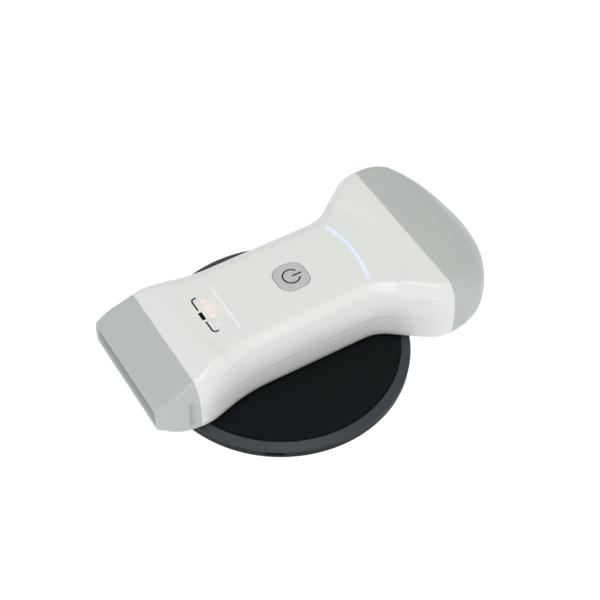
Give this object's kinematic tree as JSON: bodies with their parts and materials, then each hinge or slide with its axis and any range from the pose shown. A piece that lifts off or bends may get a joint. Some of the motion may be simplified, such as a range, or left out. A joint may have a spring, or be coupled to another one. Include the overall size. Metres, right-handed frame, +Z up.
{
  "type": "ultrasound scanner",
  "caption": "Cordless hand-held ultrasound scanner with a flat linear head and a broad convex head, lying on a round charging pad.",
  "frame": {"origin": "centre of the charging pad's underside, on the surface it stands on", "axes": "+X along the scanner towards its convex head, +Z up; the scanner lies flat on the pad"},
  "size_m": [0.1492, 0.1, 0.0331],
  "materials": {
    "shell_white": "smooth satin moulding",
    "nose_grey": "smooth satin moulding",
    "lens_grey": "smooth silicone",
    "button_grey": "satin",
    "guide_lit": "frosted, lit pale blue",
    "guide_unlit": "frosted, unlit",
    "guide_warm": "frosted, lit warm",
    "seal_rubber": "moulded silicone",
    "inner_plastic": "moulded",
    "matching_layer": "filled epoxy",
    "piezo_ceramic": "fired",
    "backing_block": "filled epoxy",
    "flex_amber": "polyimide film",
    "board_green": "solder mask",
    "chip_black": "moulded",
    "battery_foil": "pouch foil",
    "foam_black": "closed foam",
    "coil_copper": "enamelled wire",
    "ferrite": "sintered sheet",
    "screw_steel": "plated",
    "socket_steel": "plated",
    "pad_plastic": "fine matte",
    "pad_metal": "dark anodised, fine sparkle",
    "pad_mat": "soft matte",
    "pad_rubber": "soft matte"
  },
  "bodies": {
    "charging_pad": {"pad_foot": "pad_rubber", "pad_base": "pad_plastic", "pad_ring": "pad_metal", "pad_cover": "pad_plastic", "pad_mat": "pad_mat", "pad_ferrite": "ferrite", "pad_coil": "coil_copper", "pad_board": "board_green", "pad_chips": "chip_black", "pad_socket": "socket_steel", "pad_screws": "screw_steel"},
    "scanner": {"upper_shell": "shell_white", "lower_shell": "shell_white", "shell_gasket": "seal_rubber", "linear_nose": "nose_grey", "linear_nose_seal": "seal_rubber", "linear_lens": "lens_grey", "linear_matching_layer": "matching_layer", "linear_piezo_array": "piezo_ceramic", "linear_backing_block": "backing_block", "linear_flex": "flex_amber", "convex_nose": "nose_grey", "convex_nose_seal": "seal_rubber", "convex_lens": "lens_grey", "convex_matching_layer": "matching_layer", "convex_piezo_array": "piezo_ceramic", "convex_backing_block": "backing_block", "convex_flex": "flex_amber", "button_gasket": "seal_rubber", "button_retainer": "inner_plastic", "power_switch": "chip_black", "light_guide_arc": "guide_lit", "light_guide_bar": "guide_unlit", "charge_light_pipe": "guide_warm", "status_leds": "guide_unlit", "main_board": "board_green", "board_chips": "chip_black", "shield_can": "socket_steel", "wifi_antenna": "piezo_ceramic", "flex_connectors": "inner_plastic", "chassis_tray": "inner_plastic", "battery_cell": "battery_foil", "battery_foam": "foam_black", "receiver_coil": "coil_copper", "receiver_ferrite": "ferrite", "chassis_screws": "screw_steel", "board_screws": "screw_steel"},
    "button": {"power_button": "button_grey", "switch_plunger": "button_grey"}
  },
  "joints": [
    {"name": "scanner_lift_off", "type": "slide", "parent": "charging_pad", "child": "scanner", "axis": [0, 0, 1], "range_m": [0, 0.08]},
    {"name": "power_button_press", "type": "slide", "parent": "scanner", "child": "button", "axis": [0, 0, -1], "range_m": [0, 0.0005], "stiffness_N_per_m": 1200, "springref_m": -0.001}
  ]
}
